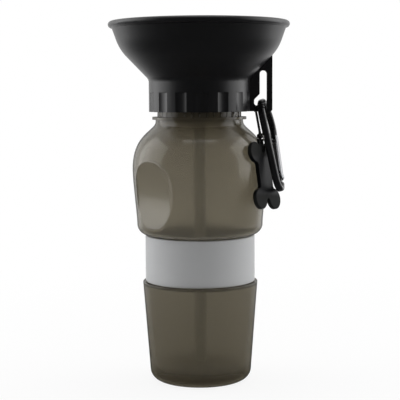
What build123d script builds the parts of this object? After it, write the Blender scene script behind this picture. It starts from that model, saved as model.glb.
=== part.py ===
from build123d import *
import os
from math import asin, atan2, cos, degrees, hypot, radians, sin

# Dog travel water bottle: a squeeze bottle with a drinking bowl screwed on top, hung by a
# sprung hook that also carries a bone-shaped tag. Millimetres, +Z up, origin at the middle
# of the base. The hang fin points along +X and the front of the bottle faces -Y.

# --- squeeze bottle (blow moulded) ---
bottle_wall = 1.4
base_hollow = 3.5            # height of the pushed-up middle of the base
base_hollow_slope = 7.0      # run of the hollow's slope
rest_ring_inset = 11.7       # inner edge of the ring that the bottle stands on
rest_ring_round = 1.5
base_inset = 4.6             # side wall carried down to the table, inside the lip
base_corner = 6.75
lip_rise = 3.7               # lip under the band, outside the recess
lower_height = 61.3
lip_edge = 0.3
recess_depth = 9.4           # measured from the widest place
recess_height = 29.1
hip_inset = 2.5              # upper body just above its round lower corner
hip_shelf = 0.4              # flat between the recess and that corner
hip_ease = 5.0
belly_radius = 41.0
belly_rise = 40.1            # from the recess up to the widest place
belly_ease = 8.5
shoulder_height = 29.0
shoulder_fullness = 22.0
throat_radius = 26.7
throat_ease = 6.0
throat_height = 1.1
flange_radius = 28.7
flange_thickness = 1.6
neck_radius = 25.4
neck_wall = 2.0
neck_height = 18.8

# --- thumb dents in the upper body ---
dent_angle = 221.5           # of the front one, the other is opposite
dent_depth = 4.7             # measured from the widest place
dent_curve = 83.0
deepest_drop = 19.0          # deepest place below the widest place
dent_drop = 14.4             # middle of the outline below the widest place
dent_width = 29.8
dent_height = 39.8
dent_corner = 13.5

# --- grip band ---
band_thickness = 2.0
band_gap = 0.35              # between the band's edges and the recess
band_edge = 0.6

# --- gasket ---
gasket_thickness = 1.8
gasket_width = 4.3
gasket_clearance = 0.3       # round the gasket, inside the skirt

# --- drinking bowl, skirt and floor ---
thread_room = 1.9            # radial space for the screw thread between neck and skirt
skirt_wall = 3.4
skirt_gap = 3.1              # under the skirt, above the flange
floor_thickness = 2.2
bowl_wall = 2.0
cone_foot = 2.0              # cone's foot above the underside of the floor
cone_width = 13.3
cone_height = 13.8
cone_fillet = 4.0
curve_width = 6.5
curve_height = 10.9
side_width = 2.95
side_height = 8.3
bead_radius = 2.0
bead_inset = 0.45            # middle of the rolled bead, inside the wall's outer face

# --- finger scallops round the skirt ---
scallop_count = 15
scallop_first = 9.3          # angle of the first scallop from the fin
scallop_radius = 9.7
scallop_depth = 0.85
scallop_height = 11.6

# --- hang fin and its boot-shaped slot ---
fin_thickness = 3.0
fin_margin = 3.4             # outside the slot
fin_corner = 1.2
slot_width = 4.3
slot_beyond_belly = 0.1      # outer side of the slot, measured from the widest place
slot_sill = 3.4              # bar under the slot
slot_height = 21.3
slot_round = 2.1             # top corners
foot_width = 7.7
foot_height = 3.7            # upright end of the slot's foot
foot_round = 1.8
ankle_height = 7.1
ankle_round = 1.3

# --- riser tube, its spigot and the diffuser over the outlet ---
tube_radius = 3.5
tube_wall = 0.8
tube_clear = 6.0             # above the inside of the base
spigot_wall = 2.2
spigot_length = 9.0
outlet_radius = 2.5
spout_wall = 2.0
spout_height = 3.0
cap_wall = 1.6
cap_room = 2.4               # space over the spout, inside the cap
cap_round = 1.4
port_count = 6
port_width = 1.8
port_height = 2.0

# --- hook body: a pear-shaped bend of drawn bar, open on the gate's side ---
crown_radius = 12.9
toe_radius = 6.4
hook_length = 57.5
bar_width = 4.3
bar_depth = 3.2
bar_round = 1.5
hook_turn_angle = 13.0
hook_lean_angle = 15.2
hook_tilt_angle = 26.0
hook_play = 0.2              # between the bar and the slot, below and beside it
nose_length = 2.6            # straight end of the bar beyond the top bend

# --- sprung gate ---
gate_width = 4.6
gate_round = 1.5
gate_gap = 0.45              # between nose and gate
fork_slot = 2.6
fork_depth = 5.9
tongue_thickness = 2.0
tongue_length = 5.0
latch_drop = 2.9             # latch pin under the nose
latch_pin_radius = 0.8
latch_play = 0.3
hinge_rise = 4.6             # hinge pin above the lower bend
hinge_pin_radius = 1.0
hinge_play = 0.05
hinge_fork_depth = 3.2       # fork above the hinge pin
plunger_radius = 0.9
plunger_length = 4.0
spring_length = 6.0
spring_wire = 0.35
bore_play = 0.1

# --- strap, ring and bone tag ---
hitch_angle = 72.0           # place of the strap on the top bend, from the crown
hitch_play = 0.4
cord_radius = 0.5
cord_play = 0.5
strand_gap = 0.55            # strands' distance from the middle of the knot
knot_radius = 1.1
knot_offset = 3.4
ring_radius = 2.3
ring_wire = 0.4
ring_lean_angle = 6.0
tag_turn_angle = 34.6
tag_lean_angle = 10.7
tag_tilt_angle = 5.0
tag_drop = 43.7              # tag's middle, from the place where the hook crosses the fin
tag_front = 22.0
tag_outward = 0.1
tag_length = 40.1
tag_width = 27.2
tag_thickness = 2.6
lobe_radius = 6.2
waist_width = 14.0
waist_fillet = 2.0
notch_fillet = 1.2
tag_edge = 0.6
tab_width = 4.8
tab_thickness = 1.3
tab_reach = 22.2             # end of the eyelet's tab above the tag's middle
eyelet_radius = 1.2
eyelet_inset = 2.2

# --- bottle's radii and heights, from the widest place and from the table up ---
recess_radius = belly_radius - recess_depth
lip_radius = recess_radius + lip_rise
base_radius = lip_radius - base_inset
rest_ring_radius = base_radius - rest_ring_inset
base_hollow_radius = rest_ring_radius - base_hollow_slope
hip_radius = belly_radius - hip_inset
hip_corner = hip_radius - recess_radius - hip_shelf
recess_base = lower_height
recess_top = recess_base + recess_height
hip_height = recess_top + hip_corner
belly_height = recess_top + belly_rise
throat_base = belly_height + shoulder_height
flange_base = throat_base + throat_height
flange_top = flange_base + flange_thickness
neck_top = flange_top + neck_height
floor_base = neck_top + gasket_thickness
floor_top = floor_base + floor_thickness
skirt_base = flange_top + skirt_gap
cone_base = floor_base + cone_foot
cone_top = cone_base + cone_height
curve_top = cone_top + curve_height
side_top = curve_top + side_height
sill_top = skirt_base + slot_sill

# --- radii that follow from others ---
neck_bore = neck_radius - neck_wall
skirt_bore = neck_radius + thread_room
skirt_radius = skirt_bore + skirt_wall
cone_radius = skirt_radius + cone_width
curve_radius = cone_radius + curve_width
side_radius = curve_radius + side_width
spigot_radius = tube_radius + spigot_wall
spout_radius = outlet_radius + spout_wall
cap_radius = spout_radius + cap_wall
bar_reach = hypot(bar_width / 2 - bar_round, bar_depth / 2 - bar_round) + bar_round
slot_outer = belly_radius + slot_beyond_belly
slot_inner = slot_outer - slot_width
fin_edge = slot_outer + fin_margin

os.makedirs("parts", exist_ok=True)


def hung_plane(origin, turn, lean, tilt):
    """Plane of a flat thing that hangs beside the bottle and faces outwards.

    Its x runs to the back and its y upwards. The thing starts square to +X, tilts in its
    own plane, leans with its foot outwards and then turns round the bottle.
    """
    turned = Location((0, 0, 0), (0, 0, -turn))
    leant = Location((0, 0, 0), (0, -lean, 0))
    tilted = Location((0, 0, 0), (-tilt, 0, 0))
    pose = turned * leant * tilted
    across = (pose * Location((0, 1, 0))).position
    facing = (pose * Location((1, 0, 0))).position
    return Plane(origin=origin, x_dir=across, z_dir=facing)


def radial_plane(angle):
    """Upright plane through the axis: x runs outwards at the angle and y upwards."""
    outwards = Vector(1, 0, 0).rotate(Axis.Z, angle)
    return Plane(origin=(0, 0, 0), x_dir=outwards, z_dir=outwards.cross(Vector(0, 0, 1)))


def dent_tool(growth):
    """Two barrels that press the thumb dents, trimmed to the dents' rounded outline."""
    deepest = belly_height - deepest_drop
    middle = belly_height - dent_drop
    distance = belly_radius - dent_depth + dent_curve
    upright = radial_plane(dent_angle)
    with BuildPart() as tool:
        with BuildSketch(upright):
            with Locations((distance, deepest), (-distance, deepest)):
                Circle(dent_curve + growth)
        extrude(amount=belly_radius, both=True)
        with BuildSketch(Plane(origin=(0, 0, middle), x_dir=upright.z_dir, z_dir=upright.x_dir)):
            RectangleRounded(
                dent_width + 2 * growth, dent_height + 2 * growth, dent_corner + growth
            )
        extrude(amount=distance, both=True, mode=Mode.INTERSECT)
    return tool.part


# ---------------------------------------------------------------- bottle
def bottle_side(inset):
    """Open profile of the bottle below its throat, from the middle of the base up.

    An inset moves it inwards, for the inside of the wall.
    """
    with BuildLine() as side:
        FilletPolyline(
            (0, base_hollow + inset),
            (base_hollow_radius - inset / 2, base_hollow + inset),
            (rest_ring_radius - inset / 2, inset),
            (base_radius - inset, inset),
            (lip_radius - inset, lower_height - inset),
            (recess_radius - inset, lower_height - inset),
            (recess_radius - inset, recess_top + inset),
            (hip_radius - hip_corner, recess_top + inset),
            radius=[
                rest_ring_round,
                rest_ring_round,
                base_corner - inset,
                lip_edge,
                lip_edge + inset,
                lip_edge + inset,
            ],
        )
        TangentArc(
            (hip_radius - hip_corner, recess_top + inset),
            (hip_radius - inset, hip_height),
            tangent=(1, 0),
        )
        Bezier(
            (hip_radius - inset, hip_height),
            (hip_radius - inset, hip_height + hip_ease),
            (belly_radius - inset, belly_height - belly_ease),
            (belly_radius - inset, belly_height),
        )
        Bezier(
            (belly_radius - inset, belly_height),
            (belly_radius - inset, belly_height + shoulder_fullness - inset),
            (throat_radius - inset, throat_base - throat_ease - inset),
            (throat_radius - inset, throat_base),
        )
    return side.line


def bottle_blank(inset):
    """Solid of revolution inside that profile, with its thumb dents."""
    with BuildPart() as blank:
        with BuildSketch(Plane.XZ):
            with BuildLine():
                add(bottle_side(inset))
                Polyline(
                    (throat_radius - inset, throat_base),
                    (0, throat_base),
                    (0, base_hollow + inset),
                )
            make_face()
        revolve(axis=Axis.Z)
        add(dent_tool(inset), mode=Mode.SUBTRACT)
    return blank.part


with BuildPart() as bottle:
    add(bottle_blank(0))
    with BuildSketch(Plane.XY.offset(throat_base)):
        Circle(throat_radius)
    extrude(amount=throat_height)
    with BuildSketch(Plane.XY.offset(flange_base)):
        Circle(flange_radius)
    extrude(amount=flange_thickness)
    with BuildSketch(Plane.XY.offset(flange_top)):
        Circle(neck_radius)
    extrude(amount=neck_height)
    add(bottle_blank(bottle_wall), mode=Mode.SUBTRACT)
    with BuildSketch(Plane.XY.offset(throat_base)):
        Circle(neck_bore)
    extrude(amount=neck_top - throat_base, mode=Mode.SUBTRACT)
bottle.part.label = "bottle"

# ---------------------------------------------------------------- grip band
with BuildPart() as grip_band:
    with BuildSketch(Plane.XY.offset(recess_base + band_gap)):
        Circle(recess_radius + band_thickness)
        Circle(recess_radius, mode=Mode.SUBTRACT)
    extrude(amount=recess_height - 2 * band_gap)
    rims = grip_band.edges().filter_by(GeomType.CIRCLE)
    outer_rims = [rim for rim in rims if rim.radius > recess_radius + band_thickness / 2]
    fillet(outer_rims, radius=band_edge)
grip_band.part.label = "grip_band"

# ---------------------------------------------------------------- gasket
with BuildPart() as neck_gasket:
    with BuildSketch(Plane.XY.offset(neck_top)):
        Circle(skirt_bore - gasket_clearance)
        Circle(skirt_bore - gasket_clearance - gasket_width, mode=Mode.SUBTRACT)
    extrude(amount=gasket_thickness)
neck_gasket.part.label = "neck_gasket"

# ---------------------------------------------------------------- drinking bowl
with BuildLine() as bowl_side:
    FilletPolyline(
        (skirt_radius, skirt_base),
        (skirt_radius, cone_base),
        (cone_radius, cone_top),
        radius=cone_fillet,
    )
    TangentArc(
        (cone_radius, cone_top),
        (curve_radius, curve_top),
        tangent=(cone_width, cone_height),
    )
    Line((curve_radius, curve_top), (side_radius, side_top))
bowl_lining = offset(
    bowl_side.line, amount=bowl_wall, side=Side.LEFT, closed=False, mode=Mode.PRIVATE
)
bowl_ends = sorted([bowl_lining @ 0, bowl_lining @ 1], key=lambda end: end.Y)

with BuildPart() as drinking_bowl:
    with BuildSketch(Plane.XZ):
        with BuildLine():
            add(bowl_side.line)
            Polyline(
                (side_radius, side_top), (0, side_top), (0, skirt_base), (skirt_radius, skirt_base)
            )
        make_face()
    revolve(axis=Axis.Z)
    with BuildSketch(Plane.XZ):
        with Locations((side_radius - bead_inset, side_top)):
            Circle(bead_radius)
    revolve(axis=Axis.Z)
    with BuildSketch(Plane.XY.offset(skirt_base)):
        with PolarLocations(
            skirt_radius - scallop_depth + scallop_radius, scallop_count, scallop_first
        ):
            Circle(scallop_radius)
    extrude(amount=scallop_height, mode=Mode.SUBTRACT)
    # hang fin, which runs into the bowl's wall
    with BuildSketch(Plane.XZ) as fin:
        with BuildLine():
            Polyline(
                (skirt_bore + skirt_wall / 2, skirt_base),
                (fin_edge, skirt_base),
                (fin_edge, side_top),
                (skirt_bore + skirt_wall / 2, side_top),
                close=True,
            )
        make_face()
        foot_corner = fin.vertices().sort_by(Axis.Y)[:2].sort_by(Axis.X)[-1]
        fillet(foot_corner, radius=fin_corner)
        with BuildSketch(mode=Mode.SUBTRACT) as boot_slot:
            heel = slot_outer - foot_width
            with BuildLine():
                FilletPolyline(
                    (slot_outer, sill_top),
                    (slot_outer, sill_top + slot_height),
                    (slot_inner, sill_top + slot_height),
                    (slot_inner, sill_top + ankle_height),
                    (heel, sill_top + foot_height),
                    (heel, sill_top),
                    (slot_inner, sill_top),
                    radius=[slot_round, slot_round, ankle_round, foot_round, foot_round],
                )
                Line((slot_inner, sill_top), (slot_outer, sill_top))
            make_face()
    extrude(amount=fin_thickness / 2, both=True)
    # inside of the bowl, above the floor
    with BuildSketch(Plane.XZ) as bowl_inside:
        with BuildLine():
            add(bowl_lining)
            Polyline(
                bowl_ends[1],
                (bowl_ends[1].X, side_top + 2 * bead_radius),
                (0, side_top + 2 * bead_radius),
                (0, skirt_base),
                bowl_ends[0],
            )
        make_face()
        with Locations((0, floor_top)):
            Rectangle(
                2 * skirt_radius,
                2 * (floor_top - skirt_base),
                align=(Align.CENTER, Align.MAX),
                mode=Mode.SUBTRACT,
            )
    revolve(axis=Axis.Z, mode=Mode.SUBTRACT)
    # room for the neck inside the skirt
    with BuildSketch(Plane.XY.offset(skirt_base)):
        Circle(skirt_bore)
    extrude(amount=floor_base - skirt_base, mode=Mode.SUBTRACT)
    # spigot under the floor, spout above it, and the water's way through both
    with BuildSketch(Plane.XY.offset(floor_base - spigot_length)):
        Circle(spigot_radius)
    extrude(amount=spigot_length)
    with BuildSketch(Plane.XY.offset(floor_top)):
        Circle(spout_radius)
    extrude(amount=spout_height)
    with BuildSketch(Plane.XY.offset(floor_base - spigot_length)):
        Circle(tube_radius)
    extrude(amount=spigot_length, mode=Mode.SUBTRACT)
    with BuildSketch(Plane.XY.offset(floor_base)):
        Circle(outlet_radius)
    extrude(amount=floor_thickness + spout_height, mode=Mode.SUBTRACT)
drinking_bowl.part.label = "drinking_bowl"

# ---------------------------------------------------------------- riser tube
tube_foot = base_hollow + bottle_wall + tube_clear
with BuildPart() as riser_tube:
    with BuildSketch(Plane.XY.offset(tube_foot)):
        Circle(tube_radius)
        Circle(tube_radius - tube_wall, mode=Mode.SUBTRACT)
    extrude(amount=floor_base - tube_foot)
riser_tube.part.label = "riser_tube"

# ---------------------------------------------------------------- diffuser cap
cap_height = spout_height + cap_room + cap_wall
with BuildPart() as diffuser_cap:
    with BuildSketch(Plane.XY.offset(floor_top)):
        Circle(cap_radius)
    extrude(amount=cap_height)
    fillet(diffuser_cap.edges().group_by(Axis.Z)[-1], radius=cap_round)
    with BuildSketch(Plane.XY.offset(floor_top)):
        Circle(spout_radius)
    extrude(amount=spout_height + cap_room, mode=Mode.SUBTRACT)
    with BuildSketch(Plane.XY.offset(floor_top + spout_height)):
        with PolarLocations(cap_radius / 2, port_count):
            Rectangle(cap_radius, port_width)
    extrude(amount=port_height, mode=Mode.SUBTRACT)
diffuser_cap.part.label = "diffuser_cap"

# ---------------------------------------------------------------- hook
# the bar passes through the slot's foot, where the tilted oval has its highest place
half_crossing = fin_thickness / 2 / cos(radians(hook_turn_angle))
crossing_dip = crown_radius - (crown_radius**2 - half_crossing**2) ** 0.5
crossing_room = bar_reach + hook_play + crossing_dip
crossing_side = crossing_room / cos(radians(hook_turn_angle))
crossing_side = crossing_side + half_crossing * sin(radians(hook_turn_angle))
crossing = Vector(slot_outer - crossing_side, 0, sill_top + crossing_room)
hook_axes = hung_plane((0, 0, 0), hook_turn_angle, hook_lean_angle, hook_tilt_angle)
crown = crossing + hook_axes.x_dir * (crown_radius * sin(radians(hook_tilt_angle)))
crown = crown + hook_axes.y_dir * (crown_radius * (1 - cos(radians(hook_tilt_angle))))
hook_plane = hung_plane(crown, hook_turn_angle, hook_lean_angle, hook_tilt_angle)
bend_distance = hook_length - crown_radius - toe_radius
flank_angle = degrees(asin((crown_radius - toe_radius) / bend_distance))
flank_length = bend_distance * cos(radians(flank_angle))


def bend_end(radius, drop, side):
    """Place in the hook's plane where a bend of the bar runs into a straight flank."""
    across = side * radius * cos(radians(flank_angle))
    return (across, -drop - radius * sin(radians(flank_angle)))


toe_drop = hook_length - toe_radius
gate_side = bend_end(crown_radius, crown_radius, 1)
gate_toe = bend_end(toe_radius, toe_drop, 1)
spine_side = bend_end(crown_radius, crown_radius, -1)
spine_toe = bend_end(toe_radius, toe_drop, -1)
# the gate's side has its own plane: y runs up the flank, from the end of the top bend
gate_plane = Plane(hook_plane.location * Location((*gate_side, 0), (0, 0, -flank_angle)))
nose_end = gate_plane.from_local_coords(Vector(0, -nose_length, 0))
hinge_y = hinge_rise - flank_length
latch_y = -nose_length - latch_drop

with BuildPart() as carabiner_body:
    with BuildLine(hook_plane) as hook_route:
        Line(tuple(hook_plane.to_local_coords(nose_end)), gate_side)
        ThreePointArc(gate_side, (0, 0), spine_side)
        Line(spine_side, spine_toe)
        ThreePointArc(spine_toe, (0, -hook_length), gate_toe)
    with BuildSketch(Plane(origin=nose_end, x_dir=gate_plane.z_dir, z_dir=gate_plane.y_dir)):
        RectangleRounded(bar_width, bar_depth, bar_round)
    sweep(path=hook_route.line)
    # tongue under the nose, with the notch that takes the gate's latch pin
    with BuildSketch(gate_plane):
        with Locations((0, -nose_length)):
            Rectangle(bar_depth, 2 * tongue_length)
        with Locations((0, latch_y)):
            Circle(latch_pin_radius + latch_play, mode=Mode.SUBTRACT)
            Rectangle(
                bar_depth,
                2 * (latch_pin_radius + latch_play),
                align=(Align.MAX, Align.CENTER),
                mode=Mode.SUBTRACT,
            )
    extrude(amount=tongue_thickness / 2, both=True)
    # tongue that carries the hinge pin
    with BuildSketch(gate_plane):
        with Locations((0, -flank_length)):
            Rectangle(bar_depth, hinge_rise, align=(Align.CENTER, Align.MIN))
        with Locations((0, hinge_y)):
            Circle(bar_depth / 2)
    extrude(amount=tongue_thickness / 2, both=True)
    with BuildSketch(gate_plane):
        with Locations((0, hinge_y)):
            Circle(hinge_pin_radius)
    extrude(amount=bar_width, both=True, mode=Mode.SUBTRACT)
carabiner_body.part.label = "carabiner_body"

with BuildPart() as gate_hinge_pin:
    with BuildSketch(gate_plane):
        with Locations((0, hinge_y)):
            Circle(hinge_pin_radius)
    extrude(amount=gate_width / 2, both=True)
gate_hinge_pin.part.label = "gate_hinge_pin"

# ---------------------------------------------------------------- gate
gate_top = -nose_length - gate_gap
bore_foot = hinge_y + hinge_fork_depth
plunger_tip = hinge_y + bar_depth / 2 + bore_play
bore_plane = Plane(
    origin=gate_plane.from_local_coords(Vector(0, plunger_tip, 0)),
    x_dir=gate_plane.z_dir,
    z_dir=gate_plane.y_dir,
)

with BuildPart() as carabiner_gate:
    with BuildSketch(gate_plane):
        with Locations((0, hinge_y)):
            Rectangle(gate_width, gate_top - hinge_y, align=(Align.CENTER, Align.MIN))
            Circle(gate_width / 2)
    extrude(amount=gate_width / 2, both=True)
    long_edges = carabiner_gate.edges().filter_by(Axis(gate_plane.origin, gate_plane.y_dir))
    fillet(long_edges, radius=gate_round)
    with BuildSketch(gate_plane):
        with Locations((0, gate_top)):
            Rectangle(2 * gate_width, 2 * fork_depth)
        with Locations((0, bore_foot)):
            Rectangle(2 * gate_width, 2 * gate_width, align=(Align.CENTER, Align.MAX))
    extrude(amount=fork_slot / 2, both=True, mode=Mode.SUBTRACT)
    with BuildSketch(gate_plane):
        with Locations((0, hinge_y)):
            Circle(hinge_pin_radius + hinge_play)
        with Locations((0, latch_y)):
            Circle(latch_pin_radius)
    extrude(amount=gate_width, both=True, mode=Mode.SUBTRACT)
    with BuildSketch(bore_plane):
        Circle(plunger_radius + bore_play)
    extrude(amount=plunger_length + spring_length, mode=Mode.SUBTRACT)
carabiner_gate.part.label = "carabiner_gate"

with BuildPart() as gate_latch_pin:
    with BuildSketch(gate_plane):
        with Locations((0, latch_y)):
            Circle(latch_pin_radius)
    extrude(amount=gate_width / 2, both=True)
gate_latch_pin.part.label = "gate_latch_pin"

with BuildPart() as gate_plunger:
    with BuildSketch(bore_plane):
        Circle(plunger_radius)
    extrude(amount=plunger_length)
gate_plunger.part.label = "gate_plunger"

with BuildPart() as gate_spring:
    with BuildSketch(bore_plane.offset(plunger_length)):
        Circle(plunger_radius)
        Circle(plunger_radius - spring_wire, mode=Mode.SUBTRACT)
    extrude(amount=spring_length)
gate_spring.part.label = "gate_spring"

# ---------------------------------------------------------------- bone tag
tag_centre = crossing + Vector(tag_outward, -tag_front, -tag_drop)
tag_plane = hung_plane(tag_centre, tag_turn_angle, tag_lean_angle, tag_tilt_angle)
lobe_x = tag_width / 2 - lobe_radius
lobe_y = tag_length / 2 - lobe_radius
eyelet_y = tab_reach - eyelet_inset

with BuildPart() as bone_tag:
    with BuildSketch(tag_plane) as bone:
        Rectangle(waist_width, 2 * lobe_y)
        with GridLocations(2 * lobe_x, 2 * lobe_y, 2, 2):
            Circle(lobe_radius)
    extrude(amount=tag_thickness / 2, both=True)
    upright = bone_tag.edges().filter_by(Axis(tag_plane.origin, tag_plane.z_dir))
    waist = upright.filter_by(
        lambda edge: abs(tag_plane.to_local_coords(edge.center()).X) > waist_width / 4
    )
    notches = upright.filter_by(
        lambda edge: abs(tag_plane.to_local_coords(edge.center()).X) < waist_width / 4
    )
    fillet(waist, radius=waist_fillet)
    fillet(notches, radius=notch_fillet)
    rims = bone_tag.faces().filter_by(tag_plane).edges()
    fillet(rims, radius=tag_edge)
    with BuildSketch(tag_plane):
        with Locations((0, tab_reach)):
            Rectangle(tab_width, tab_reach - lobe_y, align=(Align.CENTER, Align.MAX))
        with Locations((0, eyelet_y)):
            Circle(eyelet_radius, mode=Mode.SUBTRACT)
    extrude(amount=tab_thickness / 2, both=True)
bone_tag.part.label = "bone_tag"

# ---------------------------------------------------------------- jump ring
ring_up = tag_plane.y_dir * cos(radians(ring_lean_angle))
ring_up = ring_up + tag_plane.z_dir * sin(radians(ring_lean_angle))
eyelet = tag_plane.from_local_coords(Vector(0, eyelet_y, 0))
ring_middle = eyelet + ring_up * ring_radius
ring_top = eyelet + ring_up * (2 * ring_radius)
with BuildPart() as tag_jump_ring:
    with BuildSketch(Plane(origin=ring_middle, x_dir=ring_up, z_dir=ring_up.cross(tag_plane.x_dir))):
        with Locations((ring_radius, 0)):
            Circle(ring_wire)
    revolve(axis=Axis(ring_middle, tag_plane.x_dir))
tag_jump_ring.part.label = "tag_jump_ring"

# ---------------------------------------------------------------- strap
hitch_x = -crown_radius * sin(radians(hitch_angle))
hitch_y = -crown_radius * (1 - cos(radians(hitch_angle)))
hitch = hook_plane.from_local_coords(Vector(hitch_x, hitch_y, 0))
bar_way = hook_plane.x_dir * -cos(radians(hitch_angle)) - hook_plane.y_dir * sin(radians(hitch_angle))
knot = hitch - hook_plane.z_dir * knot_offset
loop_radius = ring_wire + cord_play + cord_radius
strap_up = (knot - ring_top).normalized()
strap_facing = tag_plane.x_dir.cross(strap_up).normalized()
strap_plane = Plane(origin=ring_top, x_dir=strap_up.cross(strap_facing), z_dir=strap_facing)
strap_length = (knot - ring_top).length
spread = asin(loop_radius / hypot(strand_gap, strap_length)) - atan2(strand_gap, strap_length)
strand_x = loop_radius * cos(spread)
strand_y = loop_radius * sin(spread)

with BuildPart() as tag_strap:
    with BuildSketch(Plane(origin=hitch, x_dir=bar_way, z_dir=bar_way.cross(hook_plane.z_dir))):
        with Locations((0, bar_reach + hitch_play + cord_radius)):
            Circle(cord_radius)
    revolve(axis=Axis(hitch, bar_way))
    with Locations(Plane(origin=knot, z_dir=bar_way)):
        Sphere(knot_radius)
    # two strands from the knot to the loop through the ring
    with BuildLine(strap_plane) as strap_route:
        Line((strand_gap, strap_length), (strand_x, strand_y))
        ThreePointArc((strand_x, strand_y), (0, -loop_radius), (-strand_x, strand_y))
        Line((-strand_x, strand_y), (-strand_gap, strap_length))
    strand_end = strap_plane.from_local_coords(Vector(strand_gap, strap_length, 0))
    with BuildSketch(Plane(origin=strand_end, z_dir=strap_route.line % 0)):
        Circle(cord_radius)
    sweep(path=strap_route.line)
tag_strap.part.label = "tag_strap"

# ---------------------------------------------------------------- one file for each piece
for piece in (
    bottle,
    grip_band,
    neck_gasket,
    drinking_bowl,
    riser_tube,
    diffuser_cap,
    carabiner_body,
    gate_hinge_pin,
    carabiner_gate,
    gate_latch_pin,
    gate_plunger,
    gate_spring,
    tag_strap,
    tag_jump_ring,
    bone_tag,
):
    export_step(piece.part, "parts/" + piece.part.label + ".step")
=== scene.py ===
"""A dog's travel water bottle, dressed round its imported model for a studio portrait.

Everything is in metres in the model's own frame: +Z up along the bottle, +X towards the
hang fin, and the front of the bottle faces -Y. Sizes are written in millimetres and turned
to metres where a mesh is made.
"""

import logging
import math
from dataclasses import dataclass, field
from enum import Enum
from typing import Optional, Sequence, Union

import bmesh
import bpy
from mathutils import Matrix, Vector


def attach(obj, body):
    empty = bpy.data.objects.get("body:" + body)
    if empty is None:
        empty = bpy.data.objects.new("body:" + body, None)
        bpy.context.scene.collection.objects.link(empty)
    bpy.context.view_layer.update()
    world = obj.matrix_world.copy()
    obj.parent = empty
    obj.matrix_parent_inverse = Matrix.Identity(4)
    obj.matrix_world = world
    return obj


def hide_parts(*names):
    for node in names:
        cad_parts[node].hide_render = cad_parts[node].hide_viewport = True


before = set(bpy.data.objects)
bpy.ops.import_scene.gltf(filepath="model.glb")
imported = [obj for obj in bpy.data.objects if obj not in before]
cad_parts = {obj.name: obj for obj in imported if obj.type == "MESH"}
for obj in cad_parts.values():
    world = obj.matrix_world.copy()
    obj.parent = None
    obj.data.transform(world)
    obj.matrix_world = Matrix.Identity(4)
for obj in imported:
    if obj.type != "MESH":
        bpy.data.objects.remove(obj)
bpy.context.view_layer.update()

LOG = logging.getLogger("travel_bottle")
Point = tuple[float, float, float]
Socket = bpy.types.NodeSocket

MM = 0.001
WELD_MM = 0.002  # vertices closer than this become one
SECTION_SIDES = 10  # sides of a wound section
THREAD_STEPS = 72  # steps in one turn of a screw thread
ORIGIN: Point = (0.0, 0.0, 0.0)
UPWARDS: Point = (0.0, 0.0, 1.0)
WHITE = (1.0, 1.0, 1.0, 1.0)


# ------------------------------------------------------------------ meshes
def facing(origin: Point, way: Point) -> Matrix:
    """Frame that stands at a place in millimetres, with its Z along a direction."""
    return Matrix.Translation(origin) @ Vector(way).to_track_quat("Z", "Y").to_matrix().to_4x4()


def finished(mesh: bmesh.types.BMesh, name: str, sharp_deg: float = 40.0) -> bpy.types.Object:
    """Turns a mesh drawn in millimetres to a smooth-shaded piece in metres.

    Args:
        mesh: The mesh, which is used up.
        name: The piece's name.
        sharp_deg: Edges that turn by more than this stay sharp.

    Returns:
        The piece, at the origin and linked to the scene.
    """
    bmesh.ops.remove_doubles(mesh, verts=mesh.verts, dist=WELD_MM)
    bmesh.ops.scale(mesh, verts=mesh.verts, vec=(MM, MM, MM))
    bmesh.ops.recalc_face_normals(mesh, faces=mesh.faces)
    data = bpy.data.meshes.new(name)
    mesh.to_mesh(data)
    mesh.free()
    data.shade_smooth()
    data.set_sharp_from_angle(angle=math.radians(sharp_deg))
    piece = bpy.data.objects.new(name, data)
    bpy.context.scene.collection.objects.link(piece)
    return piece


def wind(
    mesh: bmesh.types.BMesh,
    start: Matrix,
    section: tuple[float, float],
    axis: tuple[Point, Point],
    turns: float,
    pitch: float,
    steps_a_turn: int,
) -> None:
    """Winds an oval section round an axis, as a screw thread or a coil.

    Args:
        mesh: The mesh that takes the winding.
        start: Where the section starts, with its own Z along the winding.
        section: Half width and half height of the oval, in millimetres.
        axis: A place on the axis and its direction.
        turns: Number of turns.
        pitch: Rise along the axis in one turn.
        steps_a_turn: Steps in one turn.
    """
    oval = bmesh.ops.create_circle(mesh, cap_ends=True, segments=SECTION_SIDES, radius=1.0)["verts"]
    bmesh.ops.scale(mesh, verts=oval, vec=(section[0], section[1], 1.0))
    bmesh.ops.transform(mesh, verts=oval, matrix=start)
    edges = {edge for vert in oval for edge in vert.link_edges}
    faces = {face for vert in oval for face in vert.link_faces}
    bmesh.ops.spin(
        mesh,
        geom=list(oval) + list(edges) + list(faces),
        cent=axis[0],
        axis=axis[1],
        dvec=Vector(axis[1]) * (pitch / steps_a_turn),
        angle=math.tau * turns,
        steps=round(steps_a_turn * turns),
        use_merge=False,
    )


@dataclass(frozen=True)
class ScrewThread:
    """A screw thread round the bottle's axis, sunk a little into the wall that carries it.

    Attributes:
        name: The piece's name.
        radius: Radius of the wall, in millimetres.
        foot: Height at which the thread starts.
        half: Half width and half height of the ridge.
        turns: Number of turns.
        pitch: Rise of the thread in a turn.
    """

    name: str
    radius: float
    foot: float
    half: tuple[float, float]
    turns: float
    pitch: float = 4.0

    def piece(self) -> bpy.types.Object:
        """Winds the thread.

        Returns:
            The thread, as a piece.
        """
        mesh = bmesh.new()
        start = facing((self.radius, 0.0, self.foot), (0.0, 1.0, 0.0))
        wind(mesh, start, self.half, (ORIGIN, UPWARDS), self.turns, self.pitch, THREAD_STEPS)
        return finished(mesh, self.name)


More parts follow.
